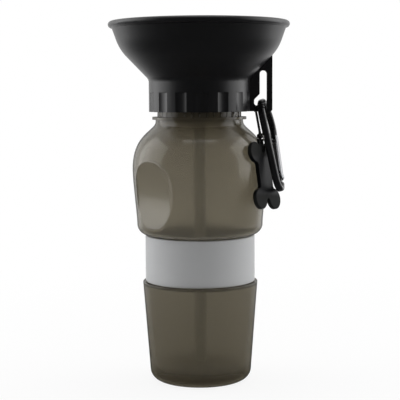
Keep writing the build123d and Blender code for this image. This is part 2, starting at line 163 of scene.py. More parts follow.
# ------------------------------------------------------------------ cord lines
def circling(
    middle: Vector,
    first: Vector,
    second: Vector,
    radius: float,
    turns: float,
    steps: int,
    climb: Optional[Vector] = None,
) -> list[Vector]:
    """Points of an arc, a ring or a coil.

    Args:
        middle: Middle of the whole form, in millimetres.
        first: Direction in which the first point lies.
        second: Direction in which a quarter of a turn lies.
        radius: Radius of the turns.
        turns: Number of turns, below 0 for the other way round.
        steps: Steps in all.
        climb: Way from the coil's first end to its last; an arc or a ring has none.

    Returns:
        The points, in millimetres.
    """
    points = []
    for step in range(steps + 1):
        angle = math.tau * turns * step / steps
        out = (first * math.cos(angle) + second * math.sin(angle)) * radius
        lift = (climb or Vector()) * (step / steps - 0.5)
        points.append(middle + out + lift)
    return points


def add_spline(
    curve: bpy.types.Curve, kind: str, points: Sequence[Vector], thickness: float = 1.0
) -> bpy.types.Spline:
    """Adds an open spline to a curve.

    Args:
        curve: The curve.
        kind: "POLY" or "NURBS".
        points: The spline's points.
        thickness: Share of the curve's own bevel.

    Returns:
        The spline.
    """
    spline = curve.splines.new(kind)
    spline.points.add(len(points) - 1)
    for control, point in zip(spline.points, points):
        control.co = (*point, 1.0)
        control.radius = thickness
    return spline


def meshed(curve: bpy.types.Curve) -> bmesh.types.BMesh:
    """Turns a curve to a mesh.

    Args:
        curve: The curve, which is used up.

    Returns:
        The mesh.
    """
    holder = bpy.data.objects.new(curve.name, curve)
    data = bpy.data.meshes.new_from_object(holder)
    mesh = bmesh.new()
    mesh.from_mesh(data)
    bpy.data.objects.remove(holder)
    bpy.data.curves.remove(curve)
    bpy.data.meshes.remove(data)
    return mesh


def smooth_line(points: Sequence[Vector]) -> list[Vector]:
    """Runs a NURBS line through the points' neighbourhood and reads it back.

    Args:
        points: Control points, in millimetres.

    Returns:
        Closely spaced points of the line.
    """
    curve = bpy.data.curves.new("cord_line", "CURVE")
    curve.dimensions = "3D"
    curve.resolution_u = 10
    spline = add_spline(curve, "NURBS", points)
    spline.order_u = 3
    spline.use_endpoint_u = True
    mesh = meshed(curve)
    line = [vert.co.copy() for vert in mesh.verts]
    mesh.free()
    return line


# ------------------------------------------------------------------ shader nodes
def linear(hex_colour: str) -> tuple[float, float, float, float]:
    """Turns an sRGB hex colour to linear RGBA.

    Args:
        hex_colour: The colour as "#rrggbb".

    Returns:
        Linear red, green and blue, with alpha 1.
    """
    parts = [int(hex_colour[i : i + 2], 16) / 255 for i in (1, 3, 5)]
    red, green, blue = (
        part / 12.92 if part <= 0.04045 else ((part + 0.055) / 1.055) ** 2.4 for part in parts
    )
    return (red, green, blue, 1.0)


class Board:
    """The node tree of a material or of the world, with short ways to wire it.

    Attributes:
        tree: The node tree.
        coordinates: Outputs of the tree's texture coordinates.
    """

    def __init__(self, owner: Union[bpy.types.Material, bpy.types.World]) -> None:
        """Empties the owner's tree.

        Args:
            owner: The material or the world.
        """
        owner.use_nodes = True
        self.tree = owner.node_tree
        self.tree.nodes.clear()
        self.coordinates = self.add("ShaderNodeTexCoord").outputs

    @property
    def place(self) -> Socket:
        """Place on the object, in its own metres."""
        return self.coordinates["Object"]

    def add(
        self, kind: str, settings: Optional[dict] = None, links: Optional[dict] = None
    ) -> bpy.types.Node:
        """Adds a node with its settings and its incoming links.

        Args:
            kind: The node's type, such as "ShaderNodeBump".
            settings: Values for input sockets, or for the node's own attributes.
            links: Input socket to the output socket that feeds it.

        Returns:
            The new node.
        """
        made = self.tree.nodes.new(kind)
        for key, value in (settings or {}).items():
            if isinstance(key, int) or key in made.inputs:
                made.inputs[key].default_value = value
            else:
                setattr(made, key, value)
        for key, source in (links or {}).items():
            self.tree.links.new(source, made.inputs[key])
        return made

    def part(self, whole: Socket, axis: str) -> Socket:
        """One coordinate of a place or a direction."""
        return self.add("ShaderNodeSeparateXYZ", links={"Vector": whole}).outputs[axis]

    def noise(self, place: Socket, grain_mm: float, detail: float, rough: float = 0.5) -> Socket:
        """Soft noise.

        Args:
            place: Where the noise is read.
            grain_mm: Width of one grain.
            detail: Number of finer layers.
            rough: Strength of the finer layers.

        Returns:
            The noise, from 0 to 1.
        """
        made = self.add(
            "ShaderNodeTexNoise",
            {"Scale": 1 / (grain_mm * MM), "Detail": detail, "Roughness": rough},
            {"Vector": place},
        )
        return made.outputs["Fac"]

    def calculate(self, operation: str, *values: Socket) -> Socket:
        """Result of one operation on one or two values."""
        made = self.add("ShaderNodeMath", {"operation": operation}, dict(enumerate(values)))
        return made.outputs["Value"]

    def remap(
        self,
        value: Socket,
        start: float,
        end: float,
        low: float = 0.0,
        high: float = 1.0,
        eased: bool = False,
    ) -> Socket:
        """Maps one range to another, and stays at its ends outside it.

        Args:
            value: The value.
            start: Where the range starts.
            end: Where the range ends.
            low: Result at the start.
            high: Result at the end.
            eased: Whether the change starts and ends softly.

        Returns:
            The mapped value.
        """
        made = self.add(
            "ShaderNodeMapRange",
            {
                "interpolation_type": "SMOOTHSTEP" if eased else "LINEAR",
                "From Min": start,
                "From Max": end,
                "To Min": low,
                "To Max": high,
            },
            {"Value": value},
        )
        return made.outputs["Result"]

    def blend(self, share: Socket, colour: Socket, hex_colour: str) -> Socket:
        """Blends a colour towards a plain one.

        Args:
            share: Share of the plain colour, from 0 to 1.
            colour: The colour that is blended.
            hex_colour: The plain colour as sRGB hex.

        Returns:
            The blended colour.
        """
        made = self.add(
            "ShaderNodeMix",
            {"data_type": "RGBA", 7: linear(hex_colour)},
            {0: share, 6: colour},
        )
        return made.outputs[2]

    def mix(self, share: Union[Socket, float], first: Socket, second: Socket) -> Socket:
        """Mixes two closures.

        Args:
            share: Share of the second one, from 0 to 1.
            first: The first closure.
            second: The second closure.

        Returns:
            The mixed closure.
        """
        made = self.add("ShaderNodeMixShader", links={1: first, 2: second})
        if isinstance(share, float):
            made.inputs["Fac"].default_value = share
        else:
            self.tree.links.new(share, made.inputs["Fac"])
        return made.outputs["Shader"]

    def seen(self) -> Socket:
        """1 for rays from the camera, also on their way through clear things, or else 0."""
        rays = self.add("ShaderNodeLightPath").outputs
        return self.calculate("MAXIMUM", rays["Is Camera Ray"], rays["Is Transmission Ray"])


# ------------------------------------------------------------------ finishes
@dataclass(frozen=True)
class Finish:
    """A real material, as one Principled surface with its fine relief.

    Attributes:
        name: The finish's own name, which the material takes.
        colour: Base colour as sRGB hex.
        roughness: How matte the surface is, from 0 to 1.
        metallic: 1 for bare metal and 0 for plastic and rubber.
        ior: Refractive index; a metal keeps the default.
        specular: Strength of the gloss that the index gives; 0.5 leaves it as it is.
        grain_mm: Width of one grain of the surface's relief.
        relief_mm: Height of that relief.
        unevenness: How far the roughness wanders.
        uneven_mm: Width of one patch of that roughness.
        mottle: How far the colour wanders, as a share of its brightness.
        mottle_mm: Width of one patch of that colour.
        edge_mm: Radius that the mould or the deburring leaves on an edge.
    """

    name: str
    colour: str
    roughness: float
    metallic: float = 0.0
    ior: float = 1.5
    specular: float = 0.5
    grain_mm: float = 0.6
    relief_mm: float = 0.01
    unevenness: float = 0.05
    uneven_mm: float = 22.0
    mottle: float = 0.06
    mottle_mm: float = 30.0
    edge_mm: float = 0.25

    def material(self) -> bpy.types.Material:
        """Makes the material, with its relief, colour and roughness wired in.

        Returns:
            The material.
        """
        made = bpy.data.materials.new(self.name)
        board = Board(made)
        shader = board.add(
            "ShaderNodeBsdfPrincipled",
            {
                "Metallic": self.metallic,
                "IOR": self.ior,
                "Specular IOR Level": self.specular,
            },
            {
                "Base Color": self.tint(board),
                "Roughness": self.wear(board),
                "Normal": self.relief(board),
            },
        )
        board.add("ShaderNodeOutputMaterial", links={"Surface": self.surface(board, shader)})
        return made

    def tint(self, board: Board) -> Socket:
        """Base colour that drifts a little, as pigment does in a moulding.

        Args:
            board: The material's board.

        Returns:
            The colour.
        """
        clouds = board.noise(board.place, self.mottle_mm, 3.0)
        drift = board.remap(clouds, 0.0, 1.0, 1 - self.mottle, 1 + self.mottle)
        scaled = board.add(
            "ShaderNodeVectorMath",
            {"operation": "SCALE", 0: linear(self.colour)[:3]},
            {"Scale": drift},
        )
        return scaled.outputs["Vector"]

    def wear(self, board: Board) -> Socket:
        """Roughness that wanders a little, as handled plastic and metal show.

        Args:
            board: The material's board.

        Returns:
            The roughness.
        """
        clouds = board.noise(board.place, self.uneven_mm, 4.0)
        smoothest = max(self.roughness - self.unevenness, 0.02)
        return board.remap(clouds, 0.0, 1.0, smoothest, min(self.roughness + self.unevenness, 1.0))

    def height(self, board: Board, place: Socket) -> Socket:
        """Fine grain of the mould or of the drawn surface, from 0 to 1."""
        return board.noise(place, self.grain_mm, 2.0, 0.6)

    def relief(self, board: Board) -> Socket:
        """Turns the height to a relief, over edges that are softly broken.

        Args:
            board: The material's board.

        Returns:
            The surface's direction.
        """
        broken = board.add("ShaderNodeBevel", {"samples": 4, "Radius": self.edge_mm * MM})
        bump = board.add(
            "ShaderNodeBump",
            {"Strength": 1.0, "Distance": self.relief_mm * MM},
            {"Height": self.height(board, board.place), "Normal": broken.outputs["Normal"]},
        )
        return bump.outputs["Normal"]

    def surface(self, board: Board, shader: bpy.types.Node) -> Socket:
        """The closure that goes to the output."""
        return shader.outputs["BSDF"]


@dataclass(frozen=True)
class SmokedPolyethylene(Finish):
    """Blow-moulded LDPE with a smoke tint: dim and greenish brown, with a waxy skin.

    The wall lets a little light through, so the sides, where light from behind rakes
    through the wall, are paler than the middle. The colour darkens towards the base and
    over the shoulder and neck, by height alone, and two fine parting lines run up the sides.

    Attributes:
        clear: Share of the light that goes through the wall.
        through: Colour of the light that the wall scatters on its way through.
        glow: Share of that scattered light.
        base_and_neck_colour: Colour that the wall darkens to towards the base and the neck.
        ramp_top_mm: Height at which the stops below end.
        ramp_stops: Share of that height, and share of that darker colour there.
        rim_shade_colour: Painted shade where the eye grazes the wall, for the dark outline.
        rim_shade_share: How much of that painted shade shows at the outline.
        rim_shade_turn: How far the wall is turned away, where that painted shade starts and is
            full.
        parting_mm: Half width of a parting line.
        parting_height: Its height, in heights of the grain.
    """

    clear: float = 0.88
    through: str = "#BDB8AB"
    glow: float = 0.2
    base_and_neck_colour: str = "#5C5545"
    ramp_top_mm: float = 181.0
    ramp_stops: tuple[tuple[float, float], ...] = (
        (0.0, 0.9),
        (0.03, 0.9),
        (0.07, 0.35),
        (0.6, 0.0),
        (0.8, 0.15),
        (0.89, 0.9),
    )
    rim_shade_colour: str = "#1D1C18"
    rim_shade_share: float = 0.8
    rim_shade_turn: tuple[float, float] = (0.68, 0.95)
    parting_mm: float = 0.35
    parting_height: float = 3.0

    def tint(self, board: Board) -> Socket:
        """Darkens the colour towards the base and over the shoulder and neck, by height alone.

        Args:
            board: The material's board.

        Returns:
            The colour.
        """
        # darker towards the base and over the shoulder and neck, by height alone
        share_up = board.remap(board.part(board.place, "Z"), 0.0, self.ramp_top_mm * MM)
        ramp = board.add("ShaderNodeValToRGB", links={"Fac": share_up})
        track = ramp.color_ramp.elements
        for index, (where, share) in enumerate(self.ramp_stops):
            stop = track[index] if index < len(track) else track.new(where)
            stop.position = where
            stop.color = (share, share, share, 1.0)
        return board.blend(ramp.outputs["Color"], super().tint(board), self.base_and_neck_colour)

    def height(self, board: Board, place: Socket) -> Socket:
        """Waxy ripple of the blown wall, with the mould's parting line at both sides.

        Args:
            board: The material's board.
            place: Place on the object.

        Returns:
            The height, in heights of the grain.
        """
        ripple = super().height(board, place)
        away = board.calculate("ABSOLUTE", board.part(place, "Y"))
        line = board.remap(away, 0.0, self.parting_mm * MM, self.parting_height, 0.0, eased=True)
        return board.calculate("ADD", ripple, line)

    def surface(self, board: Board, shader: bpy.types.Node) -> Socket:
        """Lets blurred light through the wall, scatters some on the way, and paints shade on the
        outline.

        Args:
            board: The material's board.
            shader: The Principled surface.

        Returns:
            The closure that goes to the output.
        """
        shader.inputs["Transmission Weight"].default_value = self.clear
        through = board.add("ShaderNodeBsdfTranslucent", {"Color": linear(self.through)})
        wall = board.mix(self.glow, shader.outputs["BSDF"], through.outputs["BSDF"])
        # painted shade on the outline: a dark diffuse mixed in by facing, for the longer way
        # through the wall and the dim front that the wall refracts there
        turned = board.add("ShaderNodeLayerWeight", {"Blend": 0.5}).outputs["Facing"]
        rim = board.remap(turned, *self.rim_shade_turn, 0.0, self.rim_shade_share, eased=True)
        # the painted shade's flat dark colour for the outline
        dim = board.add("ShaderNodeBsdfDiffuse", {"Color": linear(self.rim_shade_colour)})
        return board.mix(rim, wall, dim.outputs["BSDF"])


@dataclass(frozen=True)
class RubbedAndSheenFinish(Finish):
    """A dark finish whose edges are rubbed through by pockets, straps and claws, and whose pale
    edge flecks also paint the highlights that the edges catch.

    Attributes:
        bare: Colour of the bare stock, also used as a painted highlight on the edges.
        rub_sheen_mm: How far from an edge the finish is rubbed and the highlight is painted.
        rub_sheen_share: Share of the bare stock in a fleck, as wear and as painted highlight.
        edge_turn: Likeness of the true and the softened surface, where rubbing and painted
            highlight start and where they are full.
        fleck_mm: Width of one fleck.
        fleck_stops: Noise at which a fleck starts and is full.
    """

    bare: str = "#8E8F92"
    rub_sheen_mm: float = 0.5
    rub_sheen_share: float = 0.35
    edge_turn: tuple[float, float] = (0.995, 0.88)
    fleck_mm: float = 1.2
    fleck_stops: tuple[float, float] = (0.48, 0.62)

    def tint(self, board: Board) -> Socket:
        """Lets the bare stock show in flecks along the edges, as wear and as painted highlight.

        Args:
            board: The material's board.

        Returns:
            The colour.
        """
        # wear and painted highlight: pale flecks where the surface turns at an edge
        soft = board.add("ShaderNodeBevel", {"samples": 4, "Radius": self.rub_sheen_mm * MM})
        true = board.add("ShaderNodeNewGeometry")
        same = board.add(
            "ShaderNodeVectorMath",
            {"operation": "DOT_PRODUCT"},
            {0: soft.outputs["Normal"], 1: true.outputs["Normal"]},
        )
        edge = board.remap(same.outputs["Value"], *self.edge_turn, 0.0, self.rub_sheen_share)
        flecks = board.noise(board.place, self.fleck_mm, 4.0)
        share = board.calculate("MULTIPLY", edge, board.remap(flecks, *self.fleck_stops))
        return board.blend(share, super().tint(board), self.bare)


@dataclass(frozen=True)
class TwoPartPvc(Finish):
    """Poured soft PVC: glossy along the shank, with dull, paler ends where it is handled.

    Attributes:
        middle_mm: The tag's middle.
        along: Direction of its length.
        end_colour: Colour of the ends.
        end_roughness: Roughness of the ends.
        end_mm: Distance from the middle at which an end starts and is full.
    """

    middle_mm: Point = (38.34, -22.0, 127.45)
    along: Point = (-0.1028, 0.1768, 0.9789)
    end_colour: str = "#1E1F1E"
    end_roughness: float = 0.7
    end_mm: tuple[float, float] = (10.0, 13.0)

    def share(self, board: Board) -> Socket:
        """How far a place lies in the dull ends.

        Args:
            board: The material's board.

        Returns:
            0 along the shank and 1 at the ends.
        """
        offset = board.add(
            "ShaderNodeVectorMath",
            {"operation": "SUBTRACT", 1: [part * MM for part in self.middle_mm]},
            {0: board.place},
        )
        reach = board.add(
            "ShaderNodeVectorMath",
            {"operation": "DOT_PRODUCT", 1: self.along},
            {0: offset.outputs["Vector"]},
        )
        away = board.calculate("ABSOLUTE", reach.outputs["Value"])
        start, full = self.end_mm
        return board.remap(away, start * MM, full * MM, eased=True)

    def tint(self, board: Board) -> Socket:
        """Paler ends, from handling."""
        return board.blend(self.share(board), super().tint(board), self.end_colour)

    def wear(self, board: Board) -> Socket:
        """Duller ends, from handling.

        Args:
            board: The material's board.

        Returns:
            The roughness.
        """
        mix = board.add(
            "ShaderNodeMix",
            {"data_type": "FLOAT", 3: self.end_roughness},
            {0: self.share(board), 2: super().wear(board)},
        )
        return mix.outputs[0]


@dataclass(frozen=True)
class BrushedMetal(Finish):
    """Drawn and tumbled metal, with fine lines along the way that it was drawn.

    Attributes:
        along: Direction in which it was drawn.
        stretch: Length of a line, in widths of it.
    """

    along: Point = (-0.0756, 0.6178, 0.7827)
    stretch: float = 14.0

    def height(self, board: Board, place: Socket) -> Socket:
        """Draw lines: grain that is stretched along the bar.

        Args:
            board: The material's board.
            place: Place on the object.

        Returns:
            The height, from 0 to 1.
        """
        turn = Vector(self.along).to_track_quat("Z", "Y").to_euler()
        lines = board.add(
            "ShaderNodeMapping",
            {"Rotation": tuple(turn), "Scale": (1.0, 1.0, self.stretch)},
            {"Vector": place},
        )
        lines.vector_type = "TEXTURE"  # turns the place before it stretches it
        return super().height(board, lines.outputs["Vector"])


class Stock(Enum):
    """The finishes on the bottle, one for each stock that its makers would order."""

    # smoke-tinted LDPE, blown: waxy, dim, lighter where light rakes through it
    BOTTLE = SmokedPolyethylene(
        "smoked_ldpe", "#B6B1A4", 0.16, grain_mm=4.0, relief_mm=0.03, edge_mm=0.4
    )
    # TPE moulded over a tool with a satin blast: dead matte, soft fall-off
    BAND = Finish("grey_tpe", "#BFC0C1", 0.7, grain_mm=0.4, relief_mm=0.02, mottle=0.03)
    # cured silicone: milky and matte
    GASKET = Finish("white_silicone", "#C9C8C2", 0.5)
    # polypropylene off a lightly etched tool: near black, with a soft gloss at the rims
    BOWL = Finish("black_polypropylene", "#101013", 0.37, grain_mm=0.5, relief_mm=0.004)
    # extruded natural polyethylene: milky, half gloss
    TUBE = Finish("natural_pe_tube", "#CFCDC6", 0.4)
    # the same black polypropylene off a polished tool: a little glossier
    CAP = Finish("black_polypropylene_cap", "#121213", 0.25)
    # black anodised aluminium bar: dark with a satin sheen, silver where it is rubbed, and pale
    # flecks that paint highlights along the edges
    HOOK = RubbedAndSheenFinish(
        "black_anodised_aluminium", "#17181A", 0.28, grain_mm=0.4, relief_mm=0.003, rub_sheen_share=0.25
    )
    # tumbled bare aluminium: bright, with soft-edged reflections
    GATE = BrushedMetal(
        "tumbled_aluminium", "#9C9D9F", 0.3, metallic=1.0, grain_mm=0.35, relief_mm=0.004
    )
    # drawn spring steel: greyer and crisper than the aluminium
    STEEL = Finish("drawn_steel", "#B9BABC", 0.25, metallic=1.0, relief_mm=0.002, edge_mm=0.15)
    # nickel-plated wire: warm white and nearly a mirror
    RING = Finish("nickel_plated_wire", "#B5B4B0", 0.18, metallic=1.0, relief_mm=0.001)
    # waxed polyester ply, black: matte with a faint sheen on each twist
    CORD = Finish("black_polyester_ply", "#0B0B0C", 0.6, grain_mm=0.12, relief_mm=0.02)
    # poured soft PVC, black: half glossy where it is not handled
    TAG = TwoPartPvc(
        "black_soft_pvc", "#0C0D10", 0.42, ior=1.3, specular=0.25, grain_mm=1.2, relief_mm=0.01
    )


class Wardrobe:
    """Makes each finish once and puts it on the pieces."""

    def __init__(self) -> None:
        """Starts with nothing made."""
        self._made: dict[Stock, bpy.types.Material] = {}

    def material(self, stock: Stock) -> bpy.types.Material:
        """Finds the stock's material, and makes it on first use.

        Args:
            stock: The stock.

        Returns:
            Its material.
        """
        if stock not in self._made:
            self._made[stock] = stock.value.material()
        return self._made[stock]

    def dress(self, piece: bpy.types.Object, stock: Stock) -> None:
        """Puts one finish on every slot of a piece.

        Args:
            piece: The piece.
            stock: Its stock.
        """
        slots = piece.data.materials
        if not slots:
            slots.append(self.material(stock))
        for index in range(len(slots)):
            slots[index] = self.material(stock)

    def dress_nodes(self, nodes: dict[str, Stock]) -> None:
        """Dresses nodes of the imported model, and reports each.

        Args:
            nodes: Node name to its stock.
        """
        for name, stock in nodes.items():
            self.dress(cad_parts[name], stock)
            LOG.info("%s: %s", name, stock.value.name)

    def join(self, piece: bpy.types.Object, stock: Stock, body: str) -> None:
        """Dresses a new piece and lets it ride.

        Args:
            piece: The new piece.
            stock: Its finish.
            body: The body that carries it.
        """
        self.dress(piece, stock)
        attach(piece, body)
        LOG.info("%s: %s, on %s", piece.name, stock.value.name, body)


# ------------------------------------------------------------------ sub-assemblies
@dataclass
class SqueezeBottle:
    """The blown bottle with its grip band, and the screw thread of its neck.

    Attributes:
        neck_radius: Outside of the neck, in millimetres, as the others.
        thread: The neck's thread.
        rib_count: Upright ribs under the skirt, which stop the bowl from slipping.
        rib_foot: Height of the ribs' foot.
        rib_height: Height of the ribs.
        rib_radii: Radius of a rib at its foot and at its top.
        rib_sunk: How far a rib's middle lies inside the neck.
        rib_round: Rounding of a rib's top.
        nodes: The assembly's nodes and their stock.
    """

    neck_radius: float = 25.4
    thread: ScrewThread = ScrewThread("neck_thread", neck_radius, 168.4, (1.15, 0.6), 2.25)
    rib_count: int = 36
    rib_foot: float = 162.1
    rib_height: float = 4.6
    rib_radii: tuple[float, float] = (0.55, 0.4)
    rib_sunk: float = 0.3
    rib_round: float = 0.2
    nodes: dict[str, Stock] = field(
        default_factory=lambda: {"bottle": Stock.BOTTLE, "grip_band": Stock.BAND}
    )

    def build(self, wardrobe: Wardrobe) -> None:
        """Dresses the nodes and adds the neck's thread and ribs.

        Args:
            wardrobe: Where the finishes come from.
        """
        wardrobe.dress_nodes(self.nodes)
        wardrobe.join(self.thread.piece(), Stock.BOTTLE, "bottle")
        wardrobe.join(self.ribs(), Stock.BOTTLE, "bottle")

    def ribs(self) -> bpy.types.Object:
        """Makes low upright ribs round the foot of the neck.

        Returns:
            The ribs, as one piece.
        """
        mesh = bmesh.new()
        middle = self.rib_foot + self.rib_height / 2
        stand = Matrix.Translation((self.neck_radius - self.rib_sunk, 0, middle))
        for index in range(self.rib_count):
            turn = Matrix.Rotation(math.tau * index / self.rib_count, 4, "Z")
            rib = bmesh.ops.create_cone(
                mesh,
                cap_ends=True,
                segments=SECTION_SIDES,
                radius1=self.rib_radii[0],
                radius2=self.rib_radii[1],
                depth=self.rib_height,
                matrix=turn @ stand,
            )
            edges = {edge for vert in rib["verts"] for edge in vert.link_edges}
            rim = [edge for edge in edges if min(vert.co.z for vert in edge.verts) > middle]
            bmesh.ops.bevel(
                mesh,
                geom=rim,
                offset=self.rib_round,
                segments=2,
                profile=0.5,
                affect="EDGES",
                material=-1,
            )
        return finished(mesh, "neck_ribs")


@dataclass
class DrinkingBowl:
    """The bowl, the gasket, the riser tube and the diffuser that turn with it.

    Attributes:
        thread: The thread inside the skirt, half a pitch off the neck's.
        nodes: The assembly's nodes and their stock.
    """

    thread: ScrewThread = ScrewThread("skirt_thread", 27.3, 166.4, (1.05, 0.6), 2.5)
    nodes: dict[str, Stock] = field(
        default_factory=lambda: {
            "drinking_bowl": Stock.BOWL,
            "neck_gasket": Stock.GASKET,
            "riser_tube": Stock.TUBE,
            "diffuser_cap": Stock.CAP,
        }
    )

    def build(self, wardrobe: Wardrobe) -> None:
        """Dresses the nodes and adds the thread inside the skirt.

        Args:
            wardrobe: Where the finishes come from.
        """
        wardrobe.dress_nodes(self.nodes)
        wardrobe.join(self.thread.piece(), Stock.BOWL, "bowl")


@dataclass
class Hook:
    """The hook's body and its sprung gate.

    Attributes:
        hinge: Middle of the hinge pin, in millimetres.
        across: Direction of the hinge pin.
        up_gate: Direction from the hinge up the gate.
        head_radius: Radius of the pin's peened heads.
        head_height: How far a head stands proud of the fork.
        fork_half: Half the gate's width, where the heads sit.
        spring_from: Distance of the spring's foot from the hinge.
        spring_length: Length of the spring as fitted.
        spring_turns: Number of turns.
        spring_steps: Steps in one turn.
        spring_radius: Radius of the coil's middle line.
        wire_radius: Radius of the spring's wire.
        nodes: The assembly's nodes and their stock.
    """

    hinge: Point = (48.3154, -11.4236, 125.5560)
    across: Point = (0.940283, -0.217081, 0.262189)
    up_gate: Point = (-0.075633, 0.617761, 0.782720)
    head_radius: float = 1.35
    head_height: float = 0.38
    fork_half: float = 2.3
    spring_from: float = 5.7
    spring_length: float = 6.0
    spring_turns: float = 9.0
    spring_steps: int = 20
    spring_radius: float = 0.72
    wire_radius: float = 0.16
    nodes: dict[str, Stock] = field(
        default_factory=lambda: {
            "carabiner_body": Stock.HOOK,
            "carabiner_gate": Stock.GATE,
            "gate_hinge_pin": Stock.STEEL,
            "gate_latch_pin": Stock.STEEL,
            "gate_plunger": Stock.STEEL,
            "gate_spring": Stock.STEEL,
        }
    )

    def build(self, wardrobe: Wardrobe) -> None:
        """Dresses the nodes, adds the pin's heads and winds the spring.

        Args:
            wardrobe: Where the finishes come from.
        """
        wardrobe.dress_nodes(self.nodes)
        wardrobe.join(self.heads(), Stock.STEEL, "carabiner")
        coil = self.spring()
        wardrobe.join(coil, Stock.STEEL, "gate")
        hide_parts("gate_spring")

    def heads(self) -> bpy.types.Object:
        """Makes the peened heads on both ends of the hinge pin.

        Returns:
            The heads, as one piece.
        """
        mesh = bmesh.new()
        flat = (self.head_radius, self.head_radius, self.head_height)
        for side in (1, -1):
            way = Vector(self.across) * side
            seat = Vector(self.hinge) + way * self.fork_half
            ball = bmesh.ops.create_uvsphere(mesh, u_segments=24, v_segments=12, radius=1.0)
            bmesh.ops.scale(mesh, verts=ball["verts"], vec=flat)
            bmesh.ops.transform(mesh, verts=ball["verts"], matrix=facing(tuple(seat), tuple(way)))
        return finished(mesh, "hinge_rivet_heads")

    def spring(self) -> bpy.types.Object:
        """Winds the coil that pushes the plunger against the hinge tongue.

        Returns:
            The coil, as a piece.
        """
        mesh = bmesh.new()
        foot = Vector(self.hinge) + Vector(self.up_gate) * self.spring_from
        out = Vector(self.across)
        along = Vector(self.up_gate).cross(out)
        wind(
            mesh,
            facing(tuple(foot + out * self.spring_radius), tuple(along)),
            (self.wire_radius, self.wire_radius),
            (tuple(foot), self.up_gate),
            self.spring_turns,
            (self.spring_length - 2 * self.wire_radius) / self.spring_turns,
            self.spring_steps,
        )
        return finished(mesh, "spring_coil")


